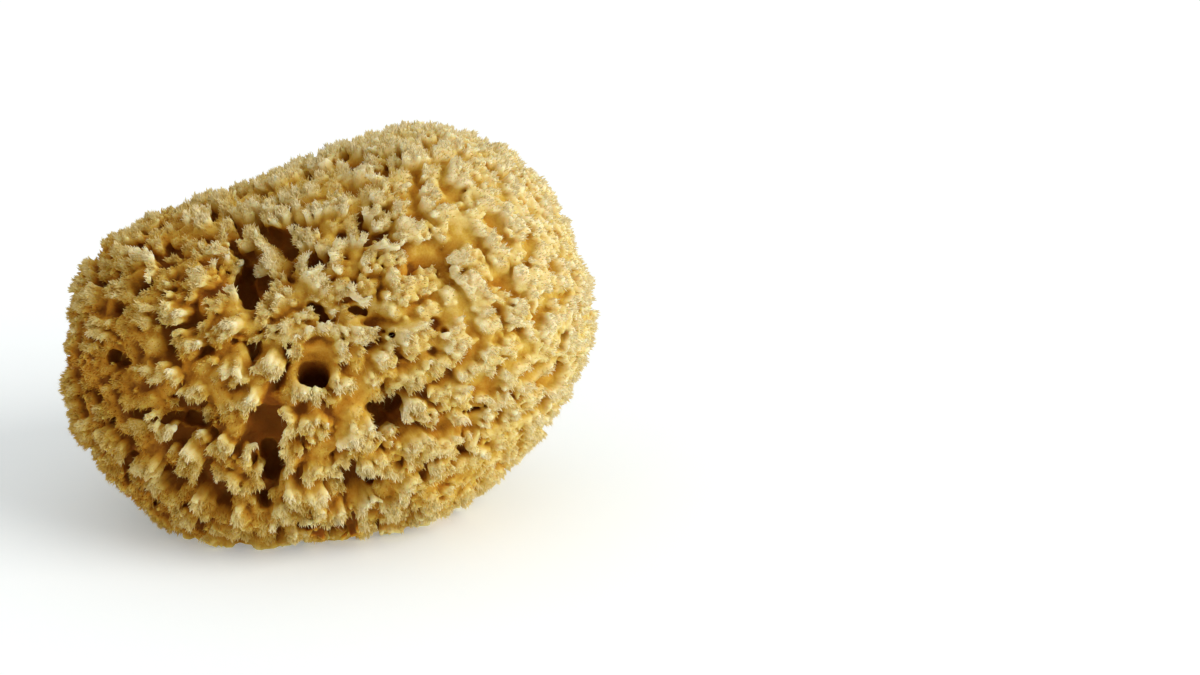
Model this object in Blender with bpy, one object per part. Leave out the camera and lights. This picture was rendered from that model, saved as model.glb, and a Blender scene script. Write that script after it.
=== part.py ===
# A natural bath sponge, dry and cut flat where it grew on the rock.
# One solid: a lopsided rounded mass, covered in tufts that stand on it with deep gaps between,
# opened by a few round canals and shallow hollows.
# Sizes here are in millimetres until the mesh is made; the scene is in metres.
# The origin is on the flat cut, under the middle of the mass. -Y is the face seen in the photograph.
import math

import bmesh
import bpy
import numpy as np
from mathutils import Vector

MM = 0.001

# The face that the sponge shows leans back, as seen from a little above.
VIEW_ELEVATION = math.radians(20)
RIGHT = np.array([1.0, 0.0, 0.0])
UP = np.array([0.0, math.sin(VIEW_ELEVATION), math.cos(VIEW_ELEVATION)])
FRONT = np.array([0.0, -math.cos(VIEW_ELEVATION), math.sin(VIEW_ELEVATION)])

# The outline round the shown face: its distance from the middle, every 20 degrees from +X upwards.
OUTLINE_STEP = math.radians(20)
UPPER_OUTLINE = [78.0, 78.5, 78.0, 72.5, 61.0, 53.5, 53.5, 61.5, 75.0]
LOWER_OUTLINE = [79.0, 79.5, 75.5, 71.5, 63.5, 61.5, 63.5, 65.5, 71.0]
OUTLINE = np.array(UPPER_OUTLINE + LOWER_OUTLINE)
MIDDLE_HEIGHT = 52.0  # of the middle of the mass over the flat cut
FRONT_DEPTH = 55.0
BACK_DEPTH = 58.0
FULLNESS = 2.2  # 2 is an ellipsoid, and more is boxier

# Broad swells (+) and hollows (-) of the mass: across, up, reach, height, all seen on the shown face,
# or through it on the far side.
SHOWN_SWELLS = [
    (-8.0, -30.0, 24.0, 4.0),
    (-52.0, -2.0, 22.0, 2.5),
    (42.0, 18.0, 26.0, 2.0),
    (-26.5, 22.0, 6.5, -7.0),
    (34.0, 20.0, 7.5, -5.0),
    (17.0, -24.0, 7.0, -5.0),
    (6.0, -46.0, 7.0, -5.0),
    (-62.0, -4.0, 6.0, -4.0),
    (-42.0, -24.0, 6.5, -4.0),
    (-14.0, 26.0, 5.0, -4.0),
]
FAR_SWELLS = [
    (-30.0, 12.0, 28.0, 4.0),
    (36.0, -16.0, 24.0, 3.5),
    (8.0, 4.0, 9.0, -7.0),
    (48.0, 26.0, 8.0, -5.0),
    (-44.0, -22.0, 9.0, -5.0),
]

# Canals with a round mouth: across, up, mouth radius, depth, on the shown face and on the far side.
SHOWN_CANALS = [
    (-6.0, -9.5, 4.6, 24.0),
    (-18.5, -33.0, 3.2, 20.0),
    (-54.5, 19.5, 2.9, 16.0),
    (-19.5, -22.0, 3.4, 12.0),
]
FAR_CANALS = [
    (10.0, 8.0, 4.4, 22.0),
    (-36.0, 18.0, 3.6, 18.0),
    (40.0, -12.0, 3.2, 16.0),
]
CANAL_SIDES = 10
CANAL_TAPER = 0.7  # of the mouth's radius, at the canal's end
CANAL_SET_IN = 3.0  # of a canal's mouth under the tips of the tufts
CUTTER_BEYOND = 12.0  # how far a canal's cutter stands out of its mouth

# Canals that the flat cut opened: x, y, radius, depth.
BASE_CANALS = [
    (-22.0, 8.0, 3.4, 12.0),
    (20.0, -12.0, 2.8, 10.0),
    (12.0, 14.0, 3.8, 12.0),
    (-12.0, -18.0, 2.4, 9.0),
]
CUT_AWAY = (300.0, 300.0, 60.0)  # block below the flat cut

# Tufts.
TUFT_PITCH = 10.4  # least distance between the middles of two tufts
TUFT_HEIGHT = 8.5  # of a tuft over the gap beside it
TUFT_TOP = 0.56  # where a tuft's top edge lies, as a share of the way to the gap
TUFT_TOP_SPREAD = (-0.12, 0.1)
TUFT_HEIGHT_SPREAD = (-1.6, 0.64)  # lower or higher than the tips of the mass
TUFT_DISH = 0.6  # of a tuft's middle
TUFT_EDGE_DROP = 1.8  # at most, of its top edge
JUNCTION_DEPTH = (0.85, 1.2)  # of the gap where three tufts meet, as a share of the tuft's height
GAP_DEPTH = (0.75, 1.0)  # and between two tufts
BRIDGE_DEPTH = 2.0  # where two tufts have grown together
BRIDGED = 0.22  # share of the gaps where two neighbours have grown together
CANDIDATES = 9000
SEED = 23


def unit(vectors):
    return vectors / np.linalg.norm(vectors, axis=-1, keepdims=True)


def outline_radius(angle):
    """Distance from the middle to the outline, on a smooth closed curve through OUTLINE."""
    place = np.mod(angle, 2 * math.pi) / OUTLINE_STEP
    at = np.floor(place).astype(int)
    t = place - at
    before, start, end, after = (OUTLINE[(at + k) % len(OUTLINE)] for k in (-1, 0, 1, 2))
    slope_in = (end - before) / 2
    slope_out = (after - start) / 2
    rise = end - start
    bend = 3 * rise - 2 * slope_in - slope_out
    turn = slope_in + slope_out - 2 * rise
    return start + t * (slope_in + t * (bend + t * turn))


def mass_radius(directions):
    """Distance from the middle to the tips of the tufts, along each unit direction."""
    across = directions @ RIGHT
    up = directions @ UP
    front = directions @ FRONT
    rim = outline_radius(np.arctan2(up, across))
    depth = np.where(front > 0, FRONT_DEPTH, BACK_DEPTH)
    share = (np.hypot(across, up) / rim) ** FULLNESS + (np.abs(front) / depth) ** FULLNESS
    radius = share ** (-1 / FULLNESS)
    for swells, side in ((SHOWN_SWELLS, 1), (FAR_SWELLS, -1)):
        for x, y, reach, height in swells:
            apart = np.hypot(across * radius - x, up * radius - y)
            radius = radius + np.where(front * side > 0, height * np.exp(-((apart / reach) ** 2)), 0)
    return radius


def direction_at(x, y, side):
    """Towards the point of the mass at x across and y up, on the shown (1) or far (-1) side."""
    rim = outline_radius(np.array(math.atan2(y, x)))
    depth = FRONT_DEPTH if side > 0 else BACK_DEPTH
    front = side * depth * (1 - (math.hypot(x, y) / rim) ** FULLNESS) ** (1 / FULLNESS)
    return unit(x * RIGHT + y * UP + front * FRONT)


def canal_places():
    """(unit direction, mouth radius, depth) of each canal."""
    return [
        (direction_at(x, y, side), radius, depth)
        for canals, side in ((SHOWN_CANALS, 1), (FAR_CANALS, -1))
        for x, y, radius, depth in canals
    ]


def tuft_directions(random):
    """Unit directions of the tufts, no two closer than TUFT_PITCH and none over a canal."""
    candidates = unit(random.normal(size=(CANDIDATES, 3)))
    places = candidates * mass_radius(candidates)[:, None]
    open_place = np.ones(CANDIDATES, bool)
    for direction, radius, _ in canal_places():
        mouth = direction * mass_radius(direction[None])[0]
        open_place &= np.linalg.norm(places - mouth, axis=1) > radius + TUFT_PITCH / 2
    kept = np.empty((0, 3))
    chosen = []
    for index in np.nonzero(open_place)[0]:
        if len(kept) and np.linalg.norm(kept - places[index], axis=1).min() < TUFT_PITCH:
            continue
        kept = np.vstack([kept, places[index]])
        chosen.append(candidates[index])
    return np.array(chosen)


def hull_of(points):
    """A bmesh with the convex hull of points, which on a ball joins each point to its neighbours."""
    made = bmesh.new()
    for point in points:
        made.verts.new(point)
    bmesh.ops.convex_hull(made, input=made.verts)
    made.verts.index_update()
    return made


def tufted_ball(random):
    """(unit directions, heights over the tips) of every corner: tuft middles, top edges and gap floors."""
    tufts = tuft_directions(random)
    lift = random.uniform(*TUFT_HEIGHT_SPREAD, len(tufts))
    hull = hull_of(tufts)
    directions = [tufts]
    heights = [lift - TUFT_DISH]
    for face in hull.faces:
        corners = [vert.index for vert in face.verts]
        junction = unit(np.array(face.normal))
        directions.append(junction[None])
        heights.append(np.array([-TUFT_HEIGHT * random.uniform(*JUNCTION_DEPTH)]))
        for corner in corners:
            reach = TUFT_TOP + random.uniform(*TUFT_TOP_SPREAD)
            directions.append(unit(tufts[corner] * (1 - reach) + junction * reach)[None])
            heights.append(np.array([lift[corner] - random.uniform(0, TUFT_EDGE_DROP)]))
    for edge in hull.edges:
        first, second = (vert.index for vert in edge.verts)
        directions.append(unit(tufts[first] + tufts[second])[None])
        bridged = random.random() < BRIDGED
        low = BRIDGE_DEPTH if bridged else TUFT_HEIGHT * random.uniform(*GAP_DEPTH)
        heights.append(np.array([-low]))
    hull.free()
    return np.vstack(directions), np.concatenate(heights)


def make_sponge_mesh():
    """The tufted mass before it is cut: a ball's hull, each corner moved out to its own distance."""
    random = np.random.default_rng(SEED)
    directions, heights = tufted_ball(random)
    ball = hull_of(directions)
    radii = mass_radius(directions) + heights
    for vert in ball.verts:
        place = directions[vert.index] * radii[vert.index]
        vert.co = (place + np.array([0, 0, MIDDLE_HEIGHT])) * MM
    bmesh.ops.recalc_face_normals(ball, faces=ball.faces)
    mesh = bpy.data.meshes.new("sponge")
    ball.to_mesh(mesh)
    ball.free()
    return mesh


def make_material():
    material = bpy.data.materials.new("dry_sponge")
    material.use_nodes = True
    shader = material.node_tree.nodes["Principled BSDF"]
    shader.inputs["Base Color"].default_value = (0.60, 0.41, 0.16, 1)
    shader.inputs["Roughness"].default_value = 0.9
    shader.inputs["Metallic"].default_value = 0
    return material


def add_cutter(collection, name):
    """Takes the primitive that was just added into the cutters' collection."""
    cutter = bpy.context.object
    cutter.name = name
    cutter.hide_render = True
    cutter.display_type = "WIRE"
    for other in list(cutter.users_collection):
        other.objects.unlink(cutter)
    collection.objects.link(cutter)
    return cutter


def add_canal_cutter(collection, name, mouth, inward, radius, depth):
    """A tapered cutter that runs from beyond the mouth to depth inside it, along inward."""
    bpy.ops.mesh.primitive_cone_add(
        vertices=CANAL_SIDES,
        radius1=radius * MM,
        radius2=radius * CANAL_TAPER * MM,
        depth=(depth + CUTTER_BEYOND) * MM,
    )
    cutter = add_cutter(collection, name)
    centre = mouth + inward * (depth - CUTTER_BEYOND) / 2
    cutter.location = centre * MM
    cutter.rotation_mode = "QUATERNION"
    cutter.rotation_quaternion = Vector(inward).to_track_quat("Z", "Y")


def main():
    for obj in list(bpy.data.objects):
        bpy.data.objects.remove(obj, do_unlink=True)
    parts = bpy.data.collections.new("sponge")
    cutters = bpy.data.collections.new("cutters")
    bpy.context.scene.collection.children.link(parts)
    bpy.context.scene.collection.children.link(cutters)

    sponge = bpy.data.objects.new("sponge", make_sponge_mesh())
    sponge.data.materials.append(make_material())
    parts.objects.link(sponge)

    middle = np.array([0, 0, MIDDLE_HEIGHT])
    for number, (direction, radius, depth) in enumerate(canal_places(), 1):
        mouth = middle + direction * (mass_radius(direction[None])[0] - CANAL_SET_IN)
        add_canal_cutter(cutters, f"canal_cutter_{number}", mouth, -direction, radius, depth)
    up = np.array([0.0, 0.0, 1.0])
    for number, (x, y, radius, depth) in enumerate(BASE_CANALS, 1):
        mouth = np.array([x, y, 0.0])
        add_canal_cutter(cutters, f"base_canal_cutter_{number}", mouth, up, radius, depth)
    cut_away = np.array(CUT_AWAY) * MM
    bpy.ops.mesh.primitive_cube_add(size=1, location=(0, 0, -cut_away[2] / 2))
    ground = add_cutter(cutters, "ground_cutter")
    ground.scale = cut_away

    for cutter in list(cutters.objects):
        cut = sponge.modifiers.new(cutter.name, "BOOLEAN")
        cut.operation = "DIFFERENCE"
        cut.object = cutter


main()
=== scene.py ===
# A dry natural bath sponge on a pale table.
# The mass is carved as a field on a fine grid, so that tufts, canals and gaps are one skin,
# and the frayed ends of the tufts are thousands of small tapered fibres set on that skin.
import math

import bpy
import numpy as np
import openvdb
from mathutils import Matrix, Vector


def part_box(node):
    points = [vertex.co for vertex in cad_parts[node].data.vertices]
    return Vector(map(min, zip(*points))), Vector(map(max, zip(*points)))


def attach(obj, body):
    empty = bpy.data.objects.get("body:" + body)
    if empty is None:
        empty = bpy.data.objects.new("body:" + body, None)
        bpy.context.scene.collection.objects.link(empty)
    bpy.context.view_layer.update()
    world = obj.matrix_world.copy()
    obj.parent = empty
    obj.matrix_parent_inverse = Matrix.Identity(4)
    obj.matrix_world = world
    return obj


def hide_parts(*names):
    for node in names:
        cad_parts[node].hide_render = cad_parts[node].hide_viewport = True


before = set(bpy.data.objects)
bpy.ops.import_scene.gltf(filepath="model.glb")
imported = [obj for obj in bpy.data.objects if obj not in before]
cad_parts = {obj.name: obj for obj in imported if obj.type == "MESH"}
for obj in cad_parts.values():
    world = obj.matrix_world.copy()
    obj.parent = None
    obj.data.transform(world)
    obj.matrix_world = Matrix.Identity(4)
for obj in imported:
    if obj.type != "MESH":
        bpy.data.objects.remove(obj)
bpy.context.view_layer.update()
mm = 0.001

# The mass, in millimetres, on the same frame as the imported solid.
mass = {
    "leanBack": 20,  # degrees that the shown face leans back, so the camera looks down by as much
    "outlineStep": 20,  # degrees between the distances below, which start on the right and turn upwards
    "outline": [78.0, 78.5, 78.0, 72.5, 61.0, 53.5, 53.5, 61.5, 75.0]
    + [79.0, 79.5, 75.5, 71.5, 63.5, 61.5, 63.5, 65.5, 71.0],
    "middleHeight": 52.0,
    "frontDepth": 55.0,
    "backDepth": 58.0,
    "fullness": 2.2,  # 2 is an egg shape, and more is boxier
    "shownSwells": [  # across, up, reach and height of a swelling, or of a dent where that is negative
        (-8.0, -30.0, 24.0, 4.0),
        (-52.0, -2.0, 22.0, 2.5),
        (42.0, 18.0, 26.0, 2.0),
        (-26.5, 22.0, 6.5, -7.0),
        (34.0, 20.0, 7.5, -5.0),
        (17.0, -24.0, 7.0, -5.0),
        (6.0, -46.0, 7.0, -5.0),
        (-62.0, -4.0, 6.0, -4.0),
        (-42.0, -24.0, 6.5, -4.0),
        (-14.0, 26.0, 5.0, -4.0),
    ],
    "farSwells": [
        (-30.0, 12.0, 28.0, 4.0),
        (36.0, -16.0, 24.0, 3.5),
        (8.0, 4.0, 9.0, -7.0),
        (48.0, 26.0, 8.0, -5.0),
        (-44.0, -22.0, 9.0, -5.0),
    ],
}
lean = math.radians(mass["leanBack"])
rightAxis = np.array([1.0, 0.0, 0.0])
upAxis = np.array([0.0, math.sin(lean), math.cos(lean)])
frontAxis = np.array([0.0, -math.cos(lean), math.sin(lean)])
middle = np.array([0.0, 0.0, mass["middleHeight"]])


def outlineRadius(angle):  # a smooth closed curve through the outline's distances
    values = np.array(mass["outline"])
    place = np.mod(angle, 2 * math.pi) / math.radians(mass["outlineStep"])
    at = np.floor(place).astype(int)
    t = place - at
    before, start, end, after = (values[(at + k) % len(values)] for k in (-1, 0, 1, 2))
    slopeIn, slopeOut, rise = (end - before) / 2, (after - start) / 2, end - start
    bend, turn = 3 * rise - 2 * slopeIn - slopeOut, slopeIn + slopeOut - 2 * rise
    return start + t * (slopeIn + t * (bend + t * turn))


def massRadius(directions):  # from the middle to the tips of the tufts
    across, up, front = directions @ rightAxis, directions @ upAxis, directions @ frontAxis
    rim = outlineRadius(np.arctan2(up, across))
    depth = np.where(front > 0, mass["frontDepth"], mass["backDepth"])
    power = mass["fullness"]
    radius = ((np.hypot(across, up) / rim) ** power + (np.abs(front) / depth) ** power) ** (-1 / power)
    for swells, side in ((mass["shownSwells"], 1), (mass["farSwells"], -1)):
        for x, y, reach, height in swells:
            apart = np.hypot(across * radius - x, up * radius - y)
            radius = radius + np.where(front * side > 0, height * np.exp(-((apart / reach) ** 2)), 0)
    return radius


def unit(vectors):
    return vectors / np.linalg.norm(vectors, axis=-1, keepdims=True)


def directionAt(x, y, side=1):  # towards a place x across and y up on the shown (1) or far (-1) side
    rim = outlineRadius(np.array(math.atan2(y, x)))
    depth = mass["frontDepth"] if side > 0 else mass["backDepth"]
    power = mass["fullness"]
    front = side * depth * (1 - (math.hypot(x, y) / rim) ** power) ** (1 / power)
    return unit(x * rightAxis + y * upAxis + front * frontAxis)


def skinPlace(directions):  # points at tip level, in millimetres
    return middle + directions * massRadius(directions)[:, None]


def skinNormal(directions):  # outward normals of the mass at tip level
    step = 0.02
    nearlyUp = np.abs(directions[:, 2:]) >= 0.9
    helper = np.where(nearlyUp, [[1.0, 0.0, 0.0]], [[0.0, 0.0, 1.0]])
    first = unit(np.cross(directions, helper))
    second = np.cross(directions, first)
    base = skinPlace(directions)
    sideA = skinPlace(unit(directions + first * step)) - base
    sideB = skinPlace(unit(directions + second * step)) - base
    return unit(np.cross(sideA, sideB))


sides = {"shown": 1, "far": -1}
canals = {
    # across and up of the mouth, its radius, across and up of the throat, its radius, its depth, collar
    "shown": [
        (-3.6, -4.0, 5.8, -5.4, -9.2, 4.1, 4.6, 8.0),
        (-55.0, 20.5, 4.2, -54.4, 17.0, 3.0, 6.0, 5.2),
    ],
    "far": [
        (10.0, 10.0, 6.4, 10.0, 4.0, 4.2, 8.0, 8.5),
        (-36.0, 18.0, 4.6, -36.0, 15.0, 3.4, 7.0, 6.0),
        (40.0, -12.0, 4.2, 40.0, -15.0, 3.0, 7.0, 5.5),
    ],
    "base": [  # in the cut underside: x, y, radius and depth
        (-22.0, 8.0, 3.4, 12.0),
        (20.0, -12.0, 2.8, 10.0),
        (12.0, 14.0, 3.8, 12.0),
        (-12.0, -18.0, 2.4, 9.0),
    ],
    "inward": 14.0,  # how much further a canal goes in behind its throat
    "sink": 4.0,  # and down
    "pinch": 0.22,  # of its radius: a canal is two round holes, this far to either side
    "rimLift": 1.5,  # where the funnel starts
    "funnelLift": 3.0,  # and where it ends
    "throatWidths": (0.8, 0.9),  # of the throat's radius, at its inner and outer end
    "funnelWidths": (0.72, 0.75, 1.1),  # of the mouth's radius, from the rim outwards
    "blends": (1.0, 1.5, 2.0),  # of throat, rim and funnel
    "baseTaper": 0.7,
    "baseBelow": -4.0,
    "baseBlend": 1.0,
    "collarRoot": 14.0,  # the lump that carries a mouth goes this deep
    "collarDrop": 2.5,
    "collarBlend": 4.0,
    "shade": 0.08,  # painted shade: how much more crowded than open skin the wall of a canal counts, which darkens its colour and thins the bristles on it
    "shadeWidth": 0.9,
    "shadeReach": 1.6,
}
ring = {  # the small crests around the mouth of a canal
    "room": 1.6,  # from the edge of the mouth
    "step": 3.4,  # between two crests
    "spread": 0.2,
    "half": (1.2, 2.2),  # half the width of a crest
    "lift": (-2.6, 0.4),
    "uphill": 1.4,  # how much higher they end above the mouth
    "right": 0.7,  # and to the right of it
    "lean": (0.1, 0.5),
    "size": 0.8,
}
gaps = {  # torn or grown deeper than the others: across and up at both ends, radius, depth at both ends
    "shown": [
        (-18.8, -19.5, -18.4, -25.5, 3.5, 6.0, 8.0),
        (-18.8, -30.0, -18.2, -36.5, 3.0, 14.0, 16.0),
        (-28.5, 33.0, -26.0, 21.5, 2.0, 5.0, 11.0),
        (-26.5, 21.5, -24.0, 13.5, 2.8, 11.0, 13.0),
        (-16.0, 32.0, -12.5, 28.5, 3.0, 9.0, 9.0),
        (-7.0, 21.5, -4.2, 23.0, 1.6, 11.0, 11.0),
        (-5.2, 10.0, -2.2, 6.6, 1.7, 9.0, 9.0),
        (5.5, 8.2, 9.6, 7.4, 1.2, 8.0, 8.0),
        (14.6, 1.8, 17.2, 0.6, 1.4, 8.0, 8.0),
        (33.0, 25.0, 36.5, 20.0, 1.8, 3.0, 3.0),
        (18.5, -21.0, 12.5, -24.5, 2.6, 10.0, 10.0),
        (7.0, -43.5, 9.8, -45.5, 2.0, 9.0, 9.0),
        (-9.0, -54.0, -6.5, -55.0, 2.4, 9.0, 9.0),
        (-3.0, -56.0, 2.5, -56.5, 3.2, 4.0, 4.0),
        (-23.0, -42.5, -20.5, -47.0, 1.9, 9.0, 9.0),
        (-64.0, -3.5, -60.5, -4.5, 2.0, 8.0, 8.0),
        (-58.0, -20.5, -46.0, -22.5, 1.9, 6.0, 8.0),
        (-44.5, -23.0, -40.5, -24.0, 2.0, 8.5, 8.5),
        (38.0, -22.4, 44.0, -21.9, 0.9, 8.0, 8.0),
        (10.5, 31.0, 14.0, 29.0, 1.8, 8.0, 8.0),
        (29.0, 4.0, 31.5, 1.5, 1.8, 4.5, 4.5),
    ],
    "far": [
        (-16.0, 22.0, -12.0, 21.0, 2.6, 10.0, 9.0),
        (20.0, -16.0, 24.0, -20.0, 2.4, 10.0, 9.0),
        (52.0, 12.0, 52.0, 8.0, 2.2, 8.0, 8.0),
        (-52.0, -5.0, -48.0, -8.0, 2.4, 9.0, 9.0),
    ],
    "step": 1.5,
    "raggedness": 0.22,  # of the radius of a gap, from place to place
    "wander": 0.25,  # of its radius: how far a gap strays from its line
    "taper": 0.85,  # width of the floor beside that of the opening
    "blend": 1.2,
    "facing": 1.3,  # how much more they open forwards than the skin faces
    "first": (1.0, 1.0),  # share of the width, and how far past tip level, before the tufts are there
    "again": (0.6, -2.5),  # and after that, below the tips
    "pitFrom": 2.3,  # radius of a gap that stays clear of tufts
    "pitWidth": 0.85,  # least share of its width that such a gap keeps
    "pitMouth": 5.0,
    "shade": 0.5,  # painted shade: how much more crowded than open skin the floor of such a gap counts, which darkens its colour and thins the bristles on it
    "shadeReach": 3.0,
}
flaps = {  # large crests on the shown side: across and up at both ends, lean across and up, rows, lift
    "shown": [
        (-5.0, 37.5, 5.0, 39.0, 0.35, 0.25, 2, 1.0),
        (7.0, 33.0, -3.8, 19.5, -0.1, 0.2, 1, 1.8),
        (-21.0, 31.5, -17.5, 22.0, -0.6, 0.0, 1, 0.4),
        (-13.0, 28.5, -3.5, 30.5, 0.0, 0.45, 1, 0.6),
        (-9.0, 21.0, -4.0, 14.5, 0.45, -0.1, 1, 1.2),
        (-11.5, -12.6, -5.8, -14.2, 0.15, 0.3, 1, -2.6),
        (-3.0, 6.2, 4.8, -1.0, 0.5, 0.4, 1, 0.6),
        (-13.4, -19.0, -13.2, -26.0, -0.45, 0.1, 1, -0.6),
        (-13.8, -29.5, -13.4, -37.0, -0.5, 0.1, 1, -0.8),
        (-23.8, -29.0, -23.4, -36.0, 0.4, 0.1, 1, -1.0),
    ],
    "size": 0.9,
    "room": 2.0,  # that tufts leave beside them
}
tufts = {
    "pitch": 10.2,  # least distance between two large tufts
    "smallPitch": 6.1,  # and between a small one and its neighbours
    "room": 2.2,  # between a large tuft and an opening
    "smallRoom": 0.8,
    "candidates": 9000,
    "seed": 23,
    "smallSize": 0.62,
    "sizeSpread": (0.85, 1.1),
    "height": 12.0,
    "width": 8.2,  # of the crest of a large tuft
    "widthSpread": (0.8, 1.3),
    "rows": (1.4, 3.4),  # of fingers in a crest
    "lift": (-1.4, 0.5),  # of the crest above tip level
    "calmLift": 0.4,  # how much less that differs on the calm side
    "smallDrop": 7.0,  # a tuft of no size at all would end this far below tip level
    "calmDrop": 5.0,  # and this much less so on the calm side
    "sway": 0.5,
    "tilt": 0.13,
    "turn": 0.7,  # of a crest from the line across the way its tuft leans
    "trunkEnd": 4.5,  # below the crest
    "trunkLow": 3.8,  # radius of the foot
    "trunkHigh": 2.0,
    "trunkBlend": 2.6,
    "calmFrom": 4.0,  # across, where the shown side starts to be flatter and softer
    "calmTo": 38.0,
    "calmFade": 10.0,  # depth over which that ends at the outline
    "rimCalm": 0.7,  # how calm the tufts are that stand at right angles to the shown side
    "rimFade": 1.4,
    "splayMiddle": (-10.0, 4.0),  # the tufts of a face lean away from here
    "splayEase": 6.0,
    "splay": 0.66,
    "hang": 0.3,  # and hang downwards
    "calmSplay": 0.5,  # how much less they do so on the calm side
}
crests = {  # rows of fingers, in which tufts, flaps and the rims of canals end
    "fingerPitch": 1.7,
    "spacing": (0.9, 1.1),
    "rowPitch": 2.1,
    "rowNarrowing": 0.6,
    "narrowing": 0.5,  # width of the foot beside that of the crest
    "leastHeight": 0.6,  # share of a tuft's height that the smallest crest has
    "footRadius": 1.8,
    "calmFoot": 0.15,
    "tipRadius": 0.85,
    "tipSpread": (0.75, 1.15),
    "blend": 0.8,
    "calmBlend": 0.6,  # how much more softly fingers join on the calm side
    "bow": 0.3,  # how much lower a crest line ends than its middle
    "bowSpread": (0.3, 1.6),
    "curl": 0.11,  # bend of a crest line seen from above
    "raggedness": 1.15,  # how unevenly the fingers end
    "calmRagged": 0.4,
    "rise": (-1.2, 0.6),
    "drop": 1.05,
    "scatterAlong": 0.3,
    "scatterAside": 0.4,
    "toothScatter": 0.9,
    "toothRise": 0.8,
    "toothRadii": (0.75, 0.5),
    "toothBlend": 0.7,
}
walls = {  # thin walls that join neighbouring tufts below their crowns
    "share": 0.35,  # of the neighbours that a wall joins
    "reach": 1.5,  # of the distance between two large tufts
    "depth": (4.0, 8.0),
    "radius": (1.5, 2.4),
    "blend": 2.5,
}


def skinAt(directions):
    return skinPlace(directions), skinNormal(directions)


def canalPlaces():  # the mouth, the throat, the way out of it, both radii, the depth and the collar
    found = []
    for name, side in sides.items():
        for row in canals[name]:
            mouth, throat = directionAt(*row[:2], side), directionAt(*row[3:5], side)
            outer, inner = skinPlace(mouth[None])[0], skinPlace(throat[None])[0]
            found.append((outer, inner, skinNormal(throat[None])[0], row[2], *row[5:]))
    return found


def gapLine(row, side):  # places along a gap, at tip level, with the way out of it there
    x1, y1, x2, y2 = row[:4]
    ends = np.array([directionAt(x1, y1, side), directionAt(x2, y2, side)])
    places, normals = skinAt(ends)
    steps = max(2, int(math.hypot(x2 - x1, y2 - y1) / gaps["step"]) + 1)
    share = np.linspace(0, 1, steps)[:, None]
    outward = normals[0] * (1 - share) + normals[1] * share + frontAxis * side * gaps["facing"]
    return places[0] * (1 - share) + places[1] * share, unit(outward), share


def openingSpots():  # places along the canals, gaps and flaps, each with the radius that it takes up
    spots = [(outer, radius) for outer, _, _, radius, *_ in canalPlaces()]
    for name, side in sides.items():
        spots += [(spot, row[4]) for row in gaps[name] for spot in gapLine(row, side)[0]]
    return spots + [(spot, flaps["room"]) for row in flaps["shown"] for spot in gapLine(row, 1)[0]]


def freeOfOpenings(places, room):
    free = np.ones(len(places), bool)
    for spot, radius in openingSpots():
        free &= np.linalg.norm(places - spot, axis=1) > radius + room
    return free


def pickApart(places, free, pitch, taken):
    kept, chosen = taken, []
    for index in np.nonzero(free)[0]:
        if len(kept) and np.linalg.norm(kept - places[index], axis=1).min() < pitch:
            continue
        kept = np.vstack([kept, places[index]])
        chosen.append(index)
    return np.array(chosen)


def scatterTufts(random, room, pitch, taken):  # directions of tufts that stand clear of the taken places
    candidates = unit(random.normal(size=(tufts["candidates"], 3)))
    places = skinPlace(candidates)
    return candidates[pickApart(places, freeOfOpenings(places, room), pitch, taken)]


# The field is the distance to the skin, in millimetres, and negative inside.
field = {
    "step": 0.45,
    "pad": 4.0,
    "coarse": 4,  # the mass is smooth, so it is worked out on every fourth point
    "coreDepth": 9.4,  # of the floor of the gaps under the tips
    "calmRise": 5.3,  # less than that where the sponge is flat and soft
    "coreNoise": (6.0, 1.2),  # wavelength and height
    "tuftNoise": (3.0, 0.35),
    "fingerNoise": (1.3, 0.16),
    "skinNoise": (1.7, 0.24),
    "band": 3.0,  # distances past this are all the same
    "crowdStep": 2,  # the crowding is worked out on every second point
    "faces": 194000,
}
boxLow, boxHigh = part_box("sponge")
low = np.array(boxLow) / mm - field["pad"]
high = np.array(boxHigh) / mm + field["pad"]
counts = (np.ceil((high - low) / field["step"] / field["coarse"]).astype(int)) * field["coarse"] + 1
axes = [low[k] + field["step"] * np.arange(counts[k], dtype=np.float32) for k in range(3)]


def resampled(values, axis, place, ease=False):  # a grid read at other places along one axis
    at = np.minimum(place.astype(int), values.shape[axis] - 2)
    t = place - at
    share = (t * t * (3 - 2 * t) if ease else t).astype(np.float32)
    share = share.reshape([-1 if k == axis else 1 for k in range(3)])
    return np.take(values, at, axis) * (1 - share) + np.take(values, at + 1, axis) * share


def spreadOut(values, factor):  # linear steps between coarse points, one axis after another
    for axis in range(3):
        values = resampled(values, axis, np.arange((values.shape[axis] - 1) * factor + 1) / factor)
    return values


def coreField():
    grid = np.stack(np.meshgrid(*[a[:: field["coarse"]] for a in axes], indexing="ij"), -1).reshape(-1, 3)
    reach = np.linalg.norm(grid - middle, axis=1)
    radius = massRadius((grid - middle) / np.maximum(reach, 1e-3)[:, None])
    depth = field["coreDepth"] - field["calmRise"] * calmAt(grid)
    values = (reach - radius + depth).astype(np.float32)
    return spreadOut(values.reshape([len(a[:: field["coarse"]]) for a in axes]), field["coarse"])


def smoothNoise(random, wavelength):  # -1 to 1 over the grid, by smooth steps of a random lattice
    size = [int(math.ceil(c * field["step"] / wavelength)) + 2 for c in counts]
    values = random.uniform(-1, 1, size).astype(np.float32)
    for axis in range(3):
        values = resampled(values, axis, np.arange(counts[axis]) * field["step"] / wavelength, True)
    return values


def roughen(values, random, name):
    wavelength, height = field[name]
    values += smoothNoise(random, wavelength) * height


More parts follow.
